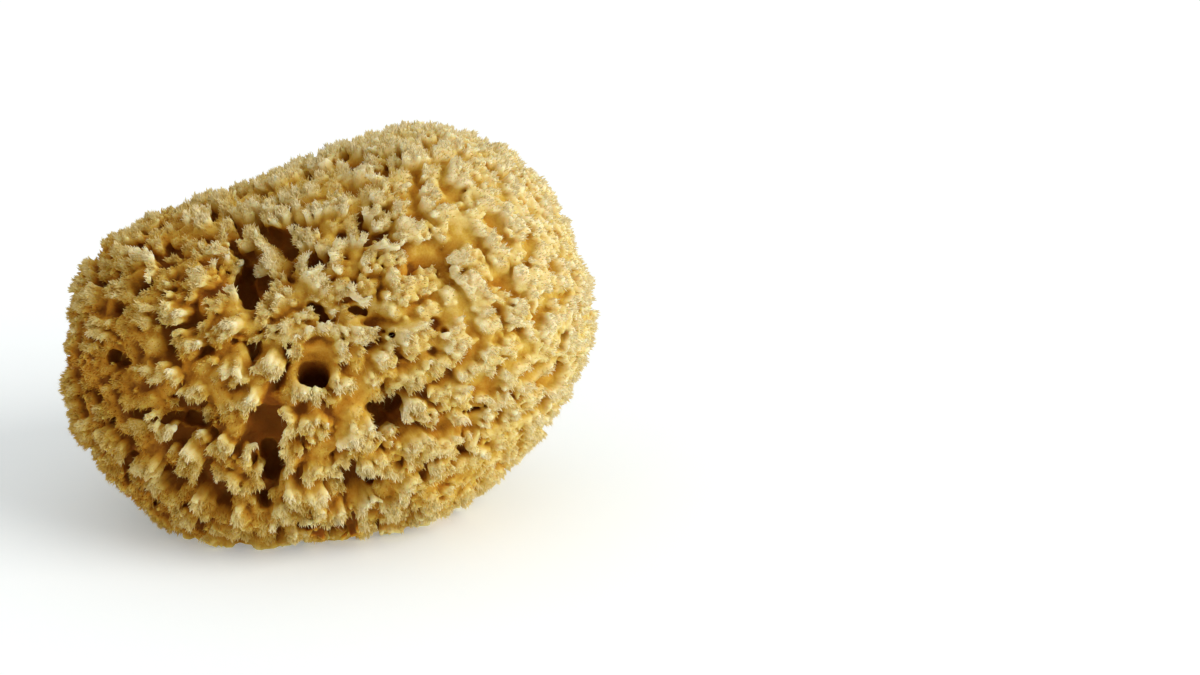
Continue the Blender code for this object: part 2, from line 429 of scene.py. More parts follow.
def rodBox(start, end, reach):  # the part of the grid around a rod with round ends
    lowest = np.minimum(start, end) - reach
    highest = np.maximum(start, end) + reach
    box, local = [], []
    for k in range(3):
        first = max(int((lowest[k] - low[k]) / field["step"]), 0)
        last = min(int((highest[k] - low[k]) / field["step"]) + 2, counts[k])
        if last - first < 1:
            return None, None
        box.append(slice(first, last))
        local.append((axes[k][first:last] - start[k]).reshape([-1 if m == k else 1 for m in range(3)]))
    return tuple(box), local


def rodDistance(local, start, end, startRadius, endRadius):
    run = (end - start).astype(np.float32)
    x, y, z = local
    along = (x * run[0] + y * run[1] + z * run[2]) / float(run @ run + 1e-6)
    along = np.clip(along, 0, 1)
    gap = np.sqrt((x - along * run[0]) ** 2 + (y - along * run[1]) ** 2 + (z - along * run[2]) ** 2)
    return gap - (startRadius + along * (endRadius - startRadius))


def addRod(values, start, end, startRadius, endRadius, blend, side=1):
    # joins a tapered rod with round ends to the mass, or carves it out of the mass where side is -1
    box, local = rodBox(start, end, max(startRadius, endRadius) + blend)
    if box is None:
        return
    distance = rodDistance(local, start, end, startRadius, endRadius)
    old = values[box] * side
    overlap = np.maximum(blend - np.abs(old - distance), 0)
    values[box] = (np.minimum(old, distance) - overlap * overlap * (0.25 / blend)) * side


def carveRod(values, start, end, startRadius, endRadius, blend):
    addRod(values, start, end, startRadius, endRadius, blend, -1)


def calmAt(places):  # 0 where the tufts stand out, 1 where they are flat and soft
    across, front = (places - middle) @ rightAxis, (places - middle) @ frontAxis
    share = (across - tufts["calmFrom"]) / (tufts["calmTo"] - tufts["calmFrom"])
    return np.clip(share, 0, 1) * np.clip(front / tufts["calmFade"] + 0.5, 0, 1)


def softAt(places, normals):  # the same, with the outline as seen from the front made soft as well
    rim = tufts["rimCalm"] - tufts["rimFade"] * np.abs(normals @ frontAxis)
    return np.maximum(calmAt(places), rim)


def growthAt(places, normals):  # the way in which fibres grow, from the mass's own normals
    across, up = (places - middle) @ rightAxis, (places - middle) @ upAxis
    away = np.stack([across - tufts["splayMiddle"][0], up - tufts["splayMiddle"][1]], -1)
    away = away / np.sqrt((away**2).sum(-1, keepdims=True) + tufts["splayEase"] ** 2)
    facing = np.abs(normals @ frontAxis)[:, None]
    lean = (away[:, :1] * rightAxis + away[:, 1:] * upAxis) * tufts["splay"] - upAxis * tufts["hang"]
    return unit(normals + lean * facing * (1 - tufts["calmSplay"] * calmAt(places)[:, None]))


def growCrest(values, random, ends, axis, rows, lift, size, calm=0.0):
    # fingers that rise side by side from a narrow foot to a ragged crest line between the two ends
    run = ends[1] - ends[0]
    width = float(np.linalg.norm(run))
    along = run / width
    beside = unit(np.cross(axis, along))
    centre = (ends[0] + ends[1]) / 2
    stand = crests["leastHeight"] + (1 - crests["leastHeight"]) * size
    fingers = max(2, int(round(width / crests["fingerPitch"])) + 1)
    bow = crests["bow"] / width * random.uniform(*crests["bowSpread"])
    curl = random.normal(0, crests["curl"])
    blend = crests["blend"] * (1 + crests["calmBlend"] * calm)
    footRadius = crests["footRadius"] * size * (1 + crests["calmFoot"] * calm)
    ragged = crests["raggedness"] * (1 - crests["calmRagged"] * calm)
    for row in range(rows):
        shift = (row - (rows - 1) / 2) * crests["rowPitch"]
        for number in range(fingers):
            reach = (number / (fingers - 1) - 0.5) * width * random.uniform(*crests["spacing"])
            rise = lift - bow * reach * reach + random.uniform(*crests["rise"]) * ragged - crests["drop"]
            aside = shift + curl * reach * reach + random.normal(0, crests["scatterAside"])
            ahead = reach + random.normal(0, crests["scatterAlong"])
            tip = centre + along * ahead + beside * aside + axis * rise
            foot = centre + along * reach * crests["narrowing"] + beside * shift * crests["rowNarrowing"]
            foot = foot - axis * tufts["height"] * stand
            tipRadius = crests["tipRadius"] * random.uniform(*crests["tipSpread"])
            addRod(values, foot, tip, footRadius, tipRadius, blend)
            aslant = (along * random.normal() + beside * random.normal()) * crests["toothScatter"]
            tooth = tip + aslant + axis * crests["toothRise"]
            addRod(values, tip - axis, tooth, *crests["toothRadii"], crests["toothBlend"])


def growTuft(values, random, place, growth, size):
    # a trunk with a crest that mostly runs across the way it leans
    sway = random.normal(0, tufts["sway"])
    first = unit(np.cross(growth, upAxis) + np.cross(growth, frontAxis) * sway)
    second = np.cross(growth, first)
    tilt = random.normal(0, tufts["tilt"], 2)
    axis = unit(growth + first * tilt[0] + second * tilt[1])
    turn = random.normal(0, tufts["turn"])
    along = first * math.cos(turn) + second * math.sin(turn)
    half = along * tufts["width"] * size * random.uniform(*tufts["widthSpread"]) / 2
    calm = float(softAt(place, growth))
    lift = random.uniform(*tufts["lift"]) * (1 - tufts["calmLift"] * calm)
    lift = lift - (1 - size) * (tufts["smallDrop"] - tufts["calmDrop"] * calm)
    foot, top = place - axis * tufts["height"], place + axis * (lift - tufts["trunkEnd"])
    radii = (tufts["trunkLow"] * size, tufts["trunkHigh"] * size)
    addRod(values, foot, top, *radii, tufts["trunkBlend"])
    rows = max(1, int(round((random.uniform(*tufts["rows"]) + calm) * size)))
    growCrest(values, random, (place - half, place + half), axis, rows, lift, size, calm)


def growFlaps(values, random):
    for x1, y1, x2, y2, leanAcross, leanUp, rows, lift in flaps["shown"]:
        ends = np.array([directionAt(x1, y1), directionAt(x2, y2)])
        places, normals = skinAt(ends)
        axis = unit(normals.mean(0) + rightAxis * leanAcross + upAxis * leanUp)
        growCrest(values, random, places, axis, rows, lift, flaps["size"])


def growRing(values, random, centre, normal, radius):
    # a rim of small crests around a mouth, lower on its downhill side
    first = unit(np.cross(normal, upAxis))
    second = np.cross(first, normal)
    amount = max(5, int(round(2 * math.pi * radius / ring["step"])))
    spread = ring["spread"]
    for number in range(amount):
        angle = 2 * math.pi * (number + random.uniform(-spread, spread)) / amount
        outward = first * math.cos(angle) + second * math.sin(angle)
        tangent = second * math.cos(angle) - first * math.sin(angle)
        spot = centre + outward * radius
        half = tangent * random.uniform(*ring["half"])
        lift = random.uniform(*ring["lift"]) + ring["uphill"] * (outward @ upAxis)
        lift = lift + ring["right"] * (outward @ rightAxis)
        axis = unit(normal + outward * random.uniform(*ring["lean"]))
        growCrest(values, random, (spot - half, spot + half), axis, 1, lift, ring["size"])


def growWalls(values, random, places, normals):  # between neighbours, each pair once
    for index, place in enumerate(places):
        apart = np.linalg.norm(places - place, axis=1)
        for other in np.nonzero((apart > 0) & (apart < walls["reach"] * tufts["pitch"]))[0]:
            if other < index or random.uniform() > walls["share"]:
                continue
            depth = random.uniform(*walls["depth"])
            start = place - normals[index] * depth
            end = places[other] - normals[other] * depth
            radii = (random.uniform(*walls["radius"]), random.uniform(*walls["radius"]))
            addRod(values, start, end, *radii, walls["blend"])


def carveGaps(values, share, over):
    random = np.random.default_rng(tufts["seed"])
    for name, side in sides.items():
        for row in gaps[name]:
            radius, depth1, depth2 = row[4:]
            for outer, normal, along in zip(*gapLine(row, side)):
                wide = radius * share * (1 + random.normal(0, gaps["raggedness"]))
                outer = outer + random.normal(0, gaps["wander"] * radius, 3)
                inner = outer - normal * (depth1 * (1 - along) + depth2 * along)
                if over < 0 and radius > gaps["pitFrom"]:
                    wide = max(wide, radius * gaps["pitWidth"])
                    outer = outer + normal * gaps["pitMouth"]
                outer = outer + normal * over
                carveRod(values, inner, outer, wide * gaps["taper"], wide, gaps["blend"])


def growCollar(values, outer, normal, radius):  # the lump that carries the mouth of a canal
    root, top = outer - normal * canals["collarRoot"], outer - normal * (radius + canals["collarDrop"])
    addRod(values, root, top, radius, radius, canals["collarBlend"])


def carveCanal(values, outer, inner, normal, mouthRadius, throatRadius):
    deep = inner - normal * canals["inward"] - upAxis * canals["sink"]
    shift = rightAxis * throatRadius * canals["pinch"]
    rim = (outer + inner) / 2 + normal * canals["rimLift"]
    open1, open2, open3 = (mouthRadius * width for width in canals["funnelWidths"])
    throat1, throat2 = (throatRadius * width for width in canals["throatWidths"])
    throatBlend, rimBlend, funnelBlend = canals["blends"]
    for off in (-shift, shift):
        carveRod(values, deep + off, inner + off, throat1, throat2, throatBlend)
        carveRod(values, inner + off, rim + off, throat2, open1, rimBlend)
    carveRod(values, rim, outer + normal * canals["funnelLift"], open2, open3, funnelBlend)


def carveBase(values):  # canals in the cut underside, and the cut itself
    for x, y, radius, depth in canals["base"]:
        top, mouth = np.array([x, y, depth]), np.array([x, y, canals["baseBelow"]])
        carveRod(values, top, mouth, radius * canals["baseTaper"], radius, canals["baseBlend"])
    return np.maximum(values, -(axes[2].reshape(1, 1, -1)))


def makeField():
    random = np.random.default_rng(tufts["seed"])
    values = coreField()
    roughen(values, random, "coreNoise")
    own = np.random.default_rng(tufts["seed"])
    large = scatterTufts(own, tufts["room"], tufts["pitch"], np.empty((0, 3)))
    small = scatterTufts(random, tufts["smallRoom"], tufts["smallPitch"], skinPlace(large))
    print("tufts:", len(large), "large,", len(small), "small")
    openings = []
    for outer, inner, normal, mouthRadius, throatRadius, depth, collar in canalPlaces():
        growCollar(values, outer, normal, collar)
        openings.append((outer, inner - normal * depth, normal, mouthRadius, throatRadius))
    sizes = ((large, 1.0), (small, tufts["smallSize"]))
    for directions, _ in sizes:
        growWalls(values, random, *skinAt(directions))
    carveGaps(values, *gaps["first"])
    for directions, size in sizes:
        places, normals = skinAt(directions)
        for place, growth in zip(places, growthAt(places, normals)):
            growTuft(values, random, place, growth, size * random.uniform(*tufts["sizeSpread"]))
    for outer, _, normal, mouthRadius, _ in openings:
        growRing(values, random, outer, normal, mouthRadius + ring["room"])
    roughen(values, random, "tuftNoise")
    roughen(values, random, "fingerNoise")
    for opening in openings:
        carveCanal(values, *opening)
    growFlaps(values, random)
    carveGaps(values, *gaps["again"])
    roughen(values, random, "skinNoise")
    print("field:", values.shape, "points")
    return carveBase(values)


def largestShell(points, quads):
    # every corner takes the lowest number among its neighbours until each shell has one number
    edges = np.vstack([quads[:, [0, 1]], quads[:, [1, 2]], quads[:, [2, 3]], quads[:, [3, 0]]])
    label = np.arange(len(points))
    while True:
        lowest = np.minimum(label[edges[:, 0]], label[edges[:, 1]])
        new = label.copy()
        np.minimum.at(new, edges[:, 0], lowest)
        np.minimum.at(new, edges[:, 1], lowest)
        new = new[new]
        if (new == label).all():
            break
        label = new
    names, sizes = np.unique(label, return_counts=True)
    keep = label == names[sizes.argmax()]
    number = np.cumsum(keep) - 1
    print("shells:", len(names), "points kept:", int(keep.sum()))
    return points[keep], number[quads[keep[quads[:, 0]]]]


def meshFrom(name, points, polygons):
    corners = polygons.shape[1]
    mesh = bpy.data.meshes.new(name)
    mesh.vertices.add(len(points))
    mesh.vertices.foreach_set("co", points.astype(np.float32).ravel())
    mesh.loops.add(polygons.size)
    mesh.loops.foreach_set("vertex_index", polygons.astype(np.int32).ravel())
    mesh.polygons.add(len(polygons))
    mesh.polygons.foreach_set("loop_start", np.arange(0, polygons.size, corners, dtype=np.int32))
    mesh.update(calc_edges=True)
    mesh.validate()
    return mesh


def plainMesh(thing, name):  # the evaluated mesh on its own, with the modifiers gone
    graph = bpy.context.evaluated_depsgraph_get()
    mesh = bpy.data.meshes.new_from_object(thing.evaluated_get(graph))
    mesh.name = name
    return mesh


def newPiece(name, mesh):
    piece = bpy.data.objects.new(name, mesh)
    bpy.context.scene.collection.objects.link(piece)
    return piece


def blurred(grid, passes=3, reach=2):
    for axis in range(3):
        for _ in range(passes):
            wide = [(reach + 1, reach) if k == axis else (0, 0) for k in range(3)]
            total = np.cumsum(np.pad(grid, wide, mode="edge"), axis=axis, dtype=np.float32)
            size = grid.shape[axis]
            upper = np.take(total, np.arange(size) + 2 * reach + 1, axis)
            grid = (upper - np.take(total, np.arange(size), axis)) / (2 * reach + 1)
    return grid


def readGrid(grid, step, points):  # between the grid's points, in millimetres
    place = (points - low) / step
    at = np.clip(place.astype(int), 0, np.array(grid.shape) - 2)
    share = np.clip(place - at, 0, 1)
    result = 0
    for corner in np.ndindex(2, 2, 2):
        weight = np.prod(np.where(corner, share, 1 - share), axis=1)
        result = result + weight * grid[tuple((at + corner).T)]
    return result


def meshPoints(mesh):
    points = np.empty(len(mesh.vertices) * 3, np.float32)
    mesh.vertices.foreach_get("co", points)
    return points.reshape(-1, 3)


def putAttribute(mesh, name, numbers, kind="FLOAT"):
    layer = mesh.attributes.new(name, kind, "POINT")
    key = "vector" if kind == "FLOAT_VECTOR" else "value"
    layer.data.foreach_set(key, numbers.astype(np.float32).ravel())


def insideCanals(spots):  # 1 on the smooth wall of a canal and its funnel, where painted shade goes
    share = np.zeros(len(spots))
    for outer, throat, normal, mouthRadius, throatRadius, depth, _ in canalPlaces():
        inner = throat - normal * (depth + canals["inward"])
        wide = mouthRadius * canals["shadeWidth"]
        distance = rodDistance(tuple((spots - inner).T), inner, outer, throatRadius, wide)
        share = np.maximum(share, np.clip(canals["shadeReach"] - distance, 0, 1))
    return share


def insidePits(spots):  # 1 on the floor and the wall of a deep gap, where painted shade goes
    share = np.zeros(len(spots))
    for row in gaps["shown"]:
        if row[4] > gaps["pitFrom"]:
            outer, normal, _ = gapLine(row, sides["shown"])
            depth = np.array([[row[5]], [row[6]]])
            start, end = outer[[0, -1]] - normal[[0, -1]] * depth
            distance = rodDistance(tuple((spots - start).T), start, end, row[4], row[4])
            share = np.maximum(share, np.clip(1 - distance / gaps["shadeReach"], 0, 1))
    return share


def makeMass():
    values = makeField()
    band, every = field["band"], field["crowdStep"]
    grid = openvdb.FloatGrid(background=band)
    grid.copyFromArray(np.clip(values, -band, band))
    points, _, quads = grid.convertToPolygons(isovalue=0.0, adaptivity=0.0)
    points, quads = largestShell(points * field["step"] + low, quads.astype(np.int64))
    skin = newPiece("skin", meshFrom("skin", points * mm, quads))
    thin = skin.modifiers.new("thin", "DECIMATE")
    thin.ratio = field["faces"] / (2 * len(quads))
    thin.use_collapse_triangulate = True
    mesh = plainMesh(skin, "sponge_mass")
    bpy.data.objects.remove(skin)
    mesh.shade_smooth()
    # how much of its neighbourhood lies inside the sponge: the colour darkens with it as painted shade, and
    # bristles thin out where it is high
    crowding = blurred((values[::every, ::every, ::every] < 0).astype(np.float32))
    spots = meshPoints(mesh) / mm
    crowding = readGrid(crowding, every * field["step"], spots)
    # painted shade: canal walls and deep gap floors count as more crowded, so they take darker colours and
    # fewer bristles
    crowding = crowding + canals["shade"] * insideCanals(spots) + gaps["shade"] * insidePits(spots)
    putAttribute(mesh, "crowding", crowding)
    distance = np.linalg.norm(spots - middle, axis=1)
    directions = (spots - middle) / distance[:, None]
    # how far below tip level the skin lies: the colour darkens with it as painted shade, and bristles thin
    # out
    putAttribute(mesh, "sunk", (massRadius(directions) - distance) / field["coreDepth"])
    normals = skinNormal(directions)
    putAttribute(mesh, "growth", growthAt(spots, normals), "FLOAT_VECTOR")
    putAttribute(mesh, "calm", softAt(spots, normals))
    print("mass:", len(mesh.polygons), "faces")
    return mesh


def setSockets(node, sockets):  # to values or links
    for key, value in sockets.items():
        if isinstance(value, Wire):
            value.tree.links.new(value.socket, node.inputs[key])
        else:
            node.inputs[key].default_value = value


class Wire:  # a socket of a node tree, so that sums read as sums
    def __init__(self, tree, socket=None):
        self.tree = tree
        self.socket = socket

    def node(self, kind, settings=None, sockets=None, output=0):
        made = self.tree.nodes.new(kind)
        for key, value in (settings or {}).items():
            if key == "stops":
                self.setStops(made.color_ramp, value)
            else:
                setattr(made, key, value)
        setSockets(made, sockets or {})
        return Wire(self.tree, made.outputs[output])

    def setStops(self, ramp, stops):
        while len(ramp.elements) > 1:
            ramp.elements.remove(ramp.elements[-1])
        for number, (place, colour) in enumerate(stops):
            stop = ramp.elements[0] if number == 0 else ramp.elements.new(place)
            stop.position = place
            stop.color = (*colour, 1)

    def output(self, name):  # another output of the node that this socket is on
        return Wire(self.tree, self.socket.node.outputs[name])

    def math(self, operation, first, second):
        return self.node("ShaderNodeMath", {"operation": operation}, {0: first, 1: second})

    def vector(self, operation, second=(0, 0, 0), output=0):
        return self.node("ShaderNodeVectorMath", {"operation": operation}, {0: self, 1: second}, output)

    def noise(self, scale, detail):
        return self.node("ShaderNodeTexNoise", None, {"Vector": self, "Scale": scale, "Detail": detail})

    def clamped(self):
        return self.node("ShaderNodeClamp", None, {0: self})

    def __add__(self, other):
        return self.math("ADD", self, other)

    __radd__ = __add__

    def __sub__(self, other):
        return self.math("SUBTRACT", self, other)

    def __rsub__(self, other):
        return self.math("SUBTRACT", other, self)

    def __mul__(self, other):
        return self.math("MULTIPLY", self, other)

    __rmul__ = __mul__

    def __truediv__(self, other):
        return self.math("DIVIDE", self, other)

    def __rtruediv__(self, other):
        return self.math("DIVIDE", other, self)

    def __pow__(self, other):
        return self.math("POWER", self, other)

    def __rpow__(self, other):
        return self.math("POWER", other, self)

    def __gt__(self, other):
        return self.math("GREATER_THAN", self, other)

    def __lt__(self, other):
        return self.math("LESS_THAN", self, other)


# Fibre colours along a ramp of openness: partly the fibre's own colour, with pale frayed ends and amber
# walls, and partly painted shade, darker the more crowded and sunk the skin is.
fibre = {
    "tip": (0.82, 0.715, 0.44),  # frayed ends
    "crown": (0.72, 0.57, 0.22),
    "wall": (0.61, 0.39, 0.062),  # smooth sides of the tufts
    "gap": (0.50, 0.22, 0.017),  # floors of the gaps: partly the fibre's own amber, partly painted shade
    "depth": (0.23, 0.072, 0.007),  # painted shade inside the canals and the deepest gaps
    "openAt": {"depth": 0.0, "gap": 0.22, "wall": 0.46, "crown": 0.72, "tip": 1.0},
    "open": 1.22,  # how open bare skin at tip level is, before what follows
    # painted shade: the colour darkens with crowding and with depth below tip level
    "paintedShadeByCrowding": 1.35,
    "paintedShadeByDepth": 0.38,
    "paintedLightAcross": 3.1,  # per metre: painted light, the shown right side and the top are paler, where the key light falls
    "paintedLightUp": 2.5,
    "noises": {  # scale, detail and strength
        "patches": (55.0, 3.0, 0.3),
        "streaks": (110.0, 4.0, 0.22),  # these run inwards from the skin
        "grain": (900.0, 3.0, 0.12),
    },
    "bare": 0.07,  # how much less open the skin looks than the frayed ends on it
    "frayReach": 0.3,  # how much more open a frayed end is at its tip than at its foot: partly the paler ends of the fibres, partly painted shade at the feet, where the bristles shade each other
    "frayClump": 0.12,
    # how much less open every bristle is than the skin it stands on: painted shade among the bristles
    "frayFoot": 0.26,
    "roughness": 0.78,
    "shine": 0.06,
    "glow": 0.85,  # share of the light that travels under the skin
    "glowReach": (1.0, 0.66, 0.36),
    "glowScale": 0.0045,
    "frayGlow": 0.12,  # and in a frayed end
    "frayGlowReach": (1.0, 0.7, 0.4),
    "frayGlowScale": 0.0005,
    "relief": (0.6, 0.5),  # streaks and grain in the bump
    "reliefStrength": 0.6,
    "reliefHeight": 0.0004,
}


def newMaterial(name):
    material = bpy.data.materials.new(name)
    material.use_nodes = True
    return material, material.node_tree, material.node_tree.nodes["Principled BSDF"]


def skinAttribute(start, name):
    return start.node("ShaderNodeAttribute", {"attribute_name": name}, output="Fac")


def fibreMaterial(name, isFray):
    material, tree, shader = newMaterial(name)
    start = Wire(tree)
    place = start.node("ShaderNodeTexCoord", output="Object")
    centred = place.vector("SUBTRACT", tuple(middle * mm))
    outward = centred.vector("NORMALIZE")
    across = start.node("ShaderNodeSeparateXYZ", None, {0: centred})
    noises = {}
    for key, (scale, detail, _) in fibre["noises"].items():
        noises[key] = (outward if key == "streaks" else place).noise(scale, detail)
    crowding, sunk = skinAttribute(start, "crowding"), skinAttribute(start, "sunk")
    # painted shade: the more crowded and sunk the skin, the less open and the darker its colour
    openness = fibre["open"] - crowding * fibre["paintedShadeByCrowding"] - sunk * fibre["paintedShadeByDepth"]
    # painted light: paler towards the right and the top, where the key light falls
    openness = openness + across * fibre["paintedLightAcross"] + across.output("Z") * fibre["paintedLightUp"]
    for key, noise in noises.items():
        openness = openness + (noise - 0.5) * fibre["noises"][key][2]
    if isFray:
        reach, clump = skinAttribute(start, "reach"), skinAttribute(start, "clump")
        # bristles pale towards their tips and darker at their feet: partly the fibres' own paler ends,
        # partly painted shade among the bristles
        openness = openness + reach * fibre["frayReach"] + clump * fibre["frayClump"] - fibre["frayFoot"]
    else:
        openness = openness - fibre["bare"]
        relief = noises["streaks"] * fibre["relief"][0] + noises["grain"] * fibre["relief"][1]
        heights = {"Strength": fibre["reliefStrength"], "Distance": fibre["reliefHeight"], "Height": relief}
        setSockets(shader, {"Normal": start.node("ShaderNodeBump", None, heights)})
    # the ramp runs from painted shade in the depths to the pale frayed ends
    stops = [(at, fibre[key]) for key, at in fibre["openAt"].items()]
    colour = start.node("ShaderNodeValToRGB", {"stops": stops}, {0: openness.clamped()})
    setSockets(shader, {"Base Color": colour, "Roughness": fibre["roughness"]})
    setSockets(shader, {"Specular IOR Level": fibre["shine"]})
    glow = "frayGlow" if isFray else "glow"
    for socket, key in (("Weight", glow), ("Radius", glow + "Reach"), ("Scale", glow + "Scale")):
        setSockets(shader, {"Subsurface " + socket: fibre[key]})
    return material


fray = {
    "perSquareMetre": 3.3e6,
    "length": 0.0016,  # metres
    "thickness": 0.00025,  # radius at the foot
    "sizeSpread": (0.6, 1.1),
    "clumpScale": 430.0,  # clumps per metre
    "clumpDetail": 1.0,
    "clumpFrom": 0.36,  # noise below this carries no clump
    "clumpRise": 3.4,
    "clumpLean": 0.9,
    "clumpLeast": 0.6,  # length of the bristles between the clumps
    "clumpSize": 0.6,  # and how much longer they are in a clump
    "sparse": 0.5,  # share of the bristles that stand between the clumps
    "sides": 3,
    "belly": 0.6,  # how much wider the middle is than that of a plain cone
    "bellyFrom": 0.1,
    "segments": 2,
    "bend": 0.3,
    "jitter": 0.28,
    "standing": 0.35,  # how much a bristle stands off the skin rather than along the growth
    "crowdLimit": 0.54,  # no bristles where it is more crowded than this
    "crowdRise": 4.5,
    "sunkLoss": 0.6,
    "facingFrom": 0.1,  # nor where the skin faces away from the growth
    "facingRise": 2.0,
    "floorRoom": 0.0035,  # nor this close to the table
    "calmShrink": 0.15,  # how much shorter they are on the calm side
    "calmLimit": 0.05,  # how much more open the skin must be there to carry any
    "spin": 6.283,  # a full turn
    "seed": 5,
    "quarters": {  # side, depth and share of the bristles
        "front_right": (1, -1, 0.95),
        "front_left": (-1, -1, 0.96),
        "back_right": (1, 1, 0.85),
        "back_left": (-1, 1, 0.85),
    },
}


def givenSockets(tree):  # the named inputs that a modifier sets
    tree.interface.new_socket("Skin", in_out="INPUT", socket_type="NodeSocketGeometry")
    for name in ("Density", "Length", "Thickness", "Belly", "Bend", "Side", "Depth"):
        tree.interface.new_socket(name, in_out="INPUT", socket_type="NodeSocketFloat")
    for name in ("Segments", "Seed"):
        tree.interface.new_socket(name, in_out="INPUT", socket_type="NodeSocketInt")
    tree.interface.new_socket("Fray", in_out="OUTPUT", socket_type="NodeSocketGeometry")
    return {s.name: Wire(tree, s) for s in tree.nodes.new("NodeGroupInput").outputs}


def storedPoint(mesh, name, value):
    return mesh.node(
        "GeometryNodeStoreNamedAttribute",
        {"data_type": "FLOAT", "domain": "POINT"},
        {"Geometry": mesh, "Name": name, "Value": value},
    )


def bristleShape(given, place):  # a cone with a belly, which bends more and more towards its tip
    cone = place.node(
        "GeometryNodeMeshCone",
        {"fill_type": "NGON"},
        {
            "Vertices": fray["sides"],
            "Side Segments": given["Segments"],
            "Radius Top": 0.0,
            "Radius Bottom": given["Thickness"],
            "Depth": given["Length"],
        },
    )
    x = place.node("ShaderNodeSeparateXYZ", None, {0: place})
    y, z = x.output("Y"), x.output("Z")
    along = z / given["Length"]
    widen = 1.0 + (along > fray["bellyFrom"]) * given["Belly"]
    sideways = x * widen + along**2.0 * given["Length"] * given["Bend"]
    spot = x.node("ShaderNodeCombineXYZ", None, {0: sideways, 1: y * widen, 2: z})
    named = storedPoint(cone.output("Mesh"), "reach", along)
    return named.node("GeometryNodeSetPosition", None, {"Geometry": named, "Position": spot})


def frayTree(material):
    # sets short bent bristles on the parts of the skin that face the way the fibres grow
    tree = bpy.data.node_groups.new("tuftFray", "GeometryNodeTree")
    given = givenSockets(tree)
    start = Wire(tree)

    def attribute(name, kind="FLOAT"):
        return start.node("GeometryNodeInputNamedAttribute", {"data_type": kind}, {"Name": name})

    def randomly(lowest, highest):
        sockets = {2: lowest, 3: highest, "Seed": given["Seed"]}
        return start.node("FunctionNodeRandomValue", {"data_type": "FLOAT"}, sockets, 1)

    place = start.node("GeometryNodeInputPosition")
    x = start.node("ShaderNodeSeparateXYZ", None, {0: place})
    growth, calm = attribute("growth", "FLOAT_VECTOR"), attribute("calm")
    barely = -1e-9  # so that a side or depth of 0 takes both halves of the sponge
    there = (x * given["Side"] > barely) * (x.output("Y") * given["Depth"] > barely)
    above = x.output("Z") > fray["floorRoom"]
    exposed = (fray["crowdLimit"] - calm * fray["calmLimit"] - attribute("crowding")) * fray["crowdRise"]
    exposed = (exposed - attribute("sunk") * fray["sunkLoss"]).clamped()
    facing = start.node("GeometryNodeInputNormal").vector("DOT_PRODUCT", growth, "Value")
    facing = ((facing - fray["facingFrom"]) * fray["facingRise"]).clamped()
    noise = place.noise(fray["clumpScale"], fray["clumpDetail"])
    clump = ((noise - fray["clumpFrom"]) * fray["clumpRise"]).clamped()
    density = there * (above * exposed) * (fray["sparse"] + clump) * facing * given["Density"]
    points = start.node(
        "GeometryNodeDistributePointsOnFaces",
        {"distribute_method": "RANDOM"},
        {"Mesh": given["Skin"], "Density": density, "Seed": given["Seed"]},
    )
    clumped = storedPoint(points, "clump", clump)
    limits = {0: (-fray["jitter"],) * 3, 1: (fray["jitter"],) * 3, "Seed": given["Seed"]}
    jitter = start.node("FunctionNodeRandomValue", {"data_type": "FLOAT_VECTOR"}, limits)
    standing = points.output("Normal").vector("MULTIPLY", (fray["standing"],) * 3)
    leaning = noise.output("Color").vector("SUBTRACT", (0.5, 0.5, 0.5))
    leaning = leaning.vector("MULTIPLY", (fray["clumpLean"],) * 3)
    aim = growth.vector("ADD", standing).vector("ADD", leaning.vector("ADD", jitter)).vector("NORMALIZE")
    turn = start.node("FunctionNodeAlignRotationToVector", {"axis": "Z"}, {"Vector": aim})
    spin = {"Axis": (0, 0, 1), "Angle": randomly(0.0, fray["spin"])}
    spin = start.node("FunctionNodeAxisAngleToRotation", None, spin)
    turn = start.node("FunctionNodeRotateRotation", {"rotation_space": "LOCAL"}, {0: turn, 1: spin})
    scale = randomly(*fray["sizeSpread"]) * (fray["clumpLeast"] + clump * fray["clumpSize"])
    scale = scale * (1.0 - calm * fray["calmShrink"])
    placed = start.node(
        "GeometryNodeInstanceOnPoints",
        None,
        {"Points": clumped, "Instance": bristleShape(given, place), "Rotation": turn, "Scale": scale},
    )
    realized = start.node("GeometryNodeRealizeInstances", None, {0: placed})
    sockets = {"Geometry": realized, "Material": material}
    finished = start.node("GeometryNodeSetMaterial", None, sockets)
    tree.links.new(finished.socket, tree.nodes.new("NodeGroupOutput").inputs[0])
    return tree


loose = {  # single thin fibres that stand out between the bristles of the shown side
    "perSquareMetre": 1.2e5,
    "length": 0.0028,
    "thickness": 0.00007,
    "belly": 0.3,
    "bend": 1.1,
    "segments": 6,
    "seed": 11,
}


def makeFray(massMesh, name, look, sideways, depth, share, tree):
    carrier = newPiece("carrier", massMesh.copy())
    modifier = carrier.modifiers.new("fray", "NODES")
    modifier.node_group = tree
    settings = {"Density": look["perSquareMetre"] * share, "Side": float(sideways), "Depth": float(depth)}
    for key in ("Length", "Thickness", "Belly", "Bend", "Segments", "Seed"):
        settings[key] = look[key.lower()]
    sockets = {s.name: s.identifier for s in tree.interface.items_tree if s.in_out == "INPUT"}
    for key, value in settings.items():
        modifier[sockets[key]] = value
    mesh = plainMesh(carrier, name)
    bpy.data.objects.remove(carrier)
    print(name, len(mesh.loops) - 2 * len(mesh.polygons), "triangles")
    return newPiece(name, mesh)


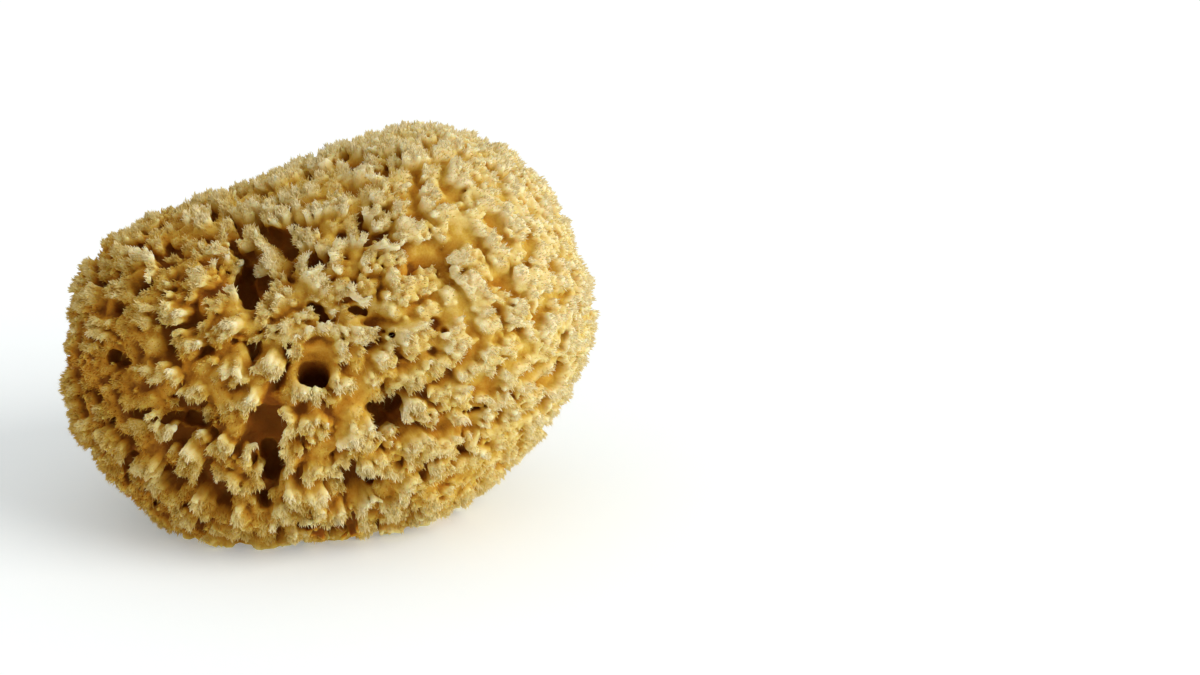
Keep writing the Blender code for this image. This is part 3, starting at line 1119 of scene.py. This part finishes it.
studio = {
    "distance": 1.0,  # metres, straight in front of the shown face
    "lens": 100.0,
    "aimRight": 0.0805,  # the sponge stands left of the picture's middle
    "aimUp": -0.0019,
    "key": (0.80, -0.46, 0.54),  # the way to the light
    "keySize": 45.0,
    "keyPower": 1.98,
    "keyColour": (1.0, 0.97, 0.90),
    "fill": 0.60,
    "fillColour": (1.0, 0.975, 0.925),
    "tableHalf": 3.0,
    "tableTones": [(0.3, (0.90, 0.925, 0.965)), (0.7, (0.92, 0.945, 0.985))],
    "tableMottle": (6.0, 2.0),  # scale and detail
    "tableRoughness": 0.9,
    "tableGlow": 0.24,  # lifts the table to the white of the picture
    "tableGlowColour": (0.8, 0.95, 1.0),
}


def makeTable():
    half = studio["tableHalf"]
    corners = np.array([(-half, -half, 0), (half, -half, 0), (half, half, 0), (-half, half, 0)])
    mesh = meshFrom("floor", corners, np.array([[0, 1, 2, 3]]))
    floor = newPiece("floor", mesh)
    paint, tree, shader = newMaterial("pale_table")
    start = Wire(tree)
    place = start.node("ShaderNodeTexCoord", output="Object")
    mottle = place.noise(*studio["tableMottle"])
    tone = start.node("ShaderNodeValToRGB", {"stops": studio["tableTones"]}, {0: mottle})
    setSockets(shader, {"Base Color": tone, "Roughness": studio["tableRoughness"]})
    glow = {"Emission Color": (*studio["tableGlowColour"], 1), "Emission Strength": studio["tableGlow"]}
    setSockets(shader, glow)
    mesh.materials.append(paint)


def makeLight():
    key = newPiece("key", bpy.data.lights.new("key", "SUN"))
    key.data.energy = studio["keyPower"]
    key.data.angle = math.radians(studio["keySize"])
    key.data.color = studio["keyColour"]
    key.rotation_euler = Vector(studio["key"]).to_track_quat("Z", "Y").to_euler()
    world = bpy.data.worlds.new("room")
    world.use_nodes = True
    sky = {"Color": (*studio["fillColour"], 1), "Strength": studio["fill"]}
    setSockets(world.node_tree.nodes["Background"], sky)
    bpy.context.scene.world = world


def makeCamera():
    target = Vector(middle * mm)
    camera = newPiece("camera", bpy.data.cameras.new("camera"))
    camera.data.lens = studio["lens"]
    camera.location = target + Vector(frontAxis) * studio["distance"]
    aim = target + Vector(rightAxis) * studio["aimRight"] + Vector(upAxis) * studio["aimUp"]
    camera.rotation_euler = (aim - camera.location).to_track_quat("-Z", "Y").to_euler()
    bpy.context.scene.camera = camera
    bpy.context.scene.view_settings.view_transform = "Standard"


massMesh = makeMass()
massMesh.materials.append(fibreMaterial("sponge_skin", False))
body = newPiece("sponge_mass", massMesh)
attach(body, "root")
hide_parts("sponge")
frayMaterial = fibreMaterial("frayed_ends", True)
tree = frayTree(frayMaterial)
pieces = [("fray_" + name, fray, *row) for name, row in fray["quarters"].items()]
for name, look, sideways, depth, share in (*pieces, ("loose_fibres", loose, 0, -1, 1.0)):
    piece = makeFray(massMesh, name, look, sideways, depth, share, tree)
    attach(piece, "root")
makeTable()
makeLight()
makeCamera()
print("studio: table, light and camera")
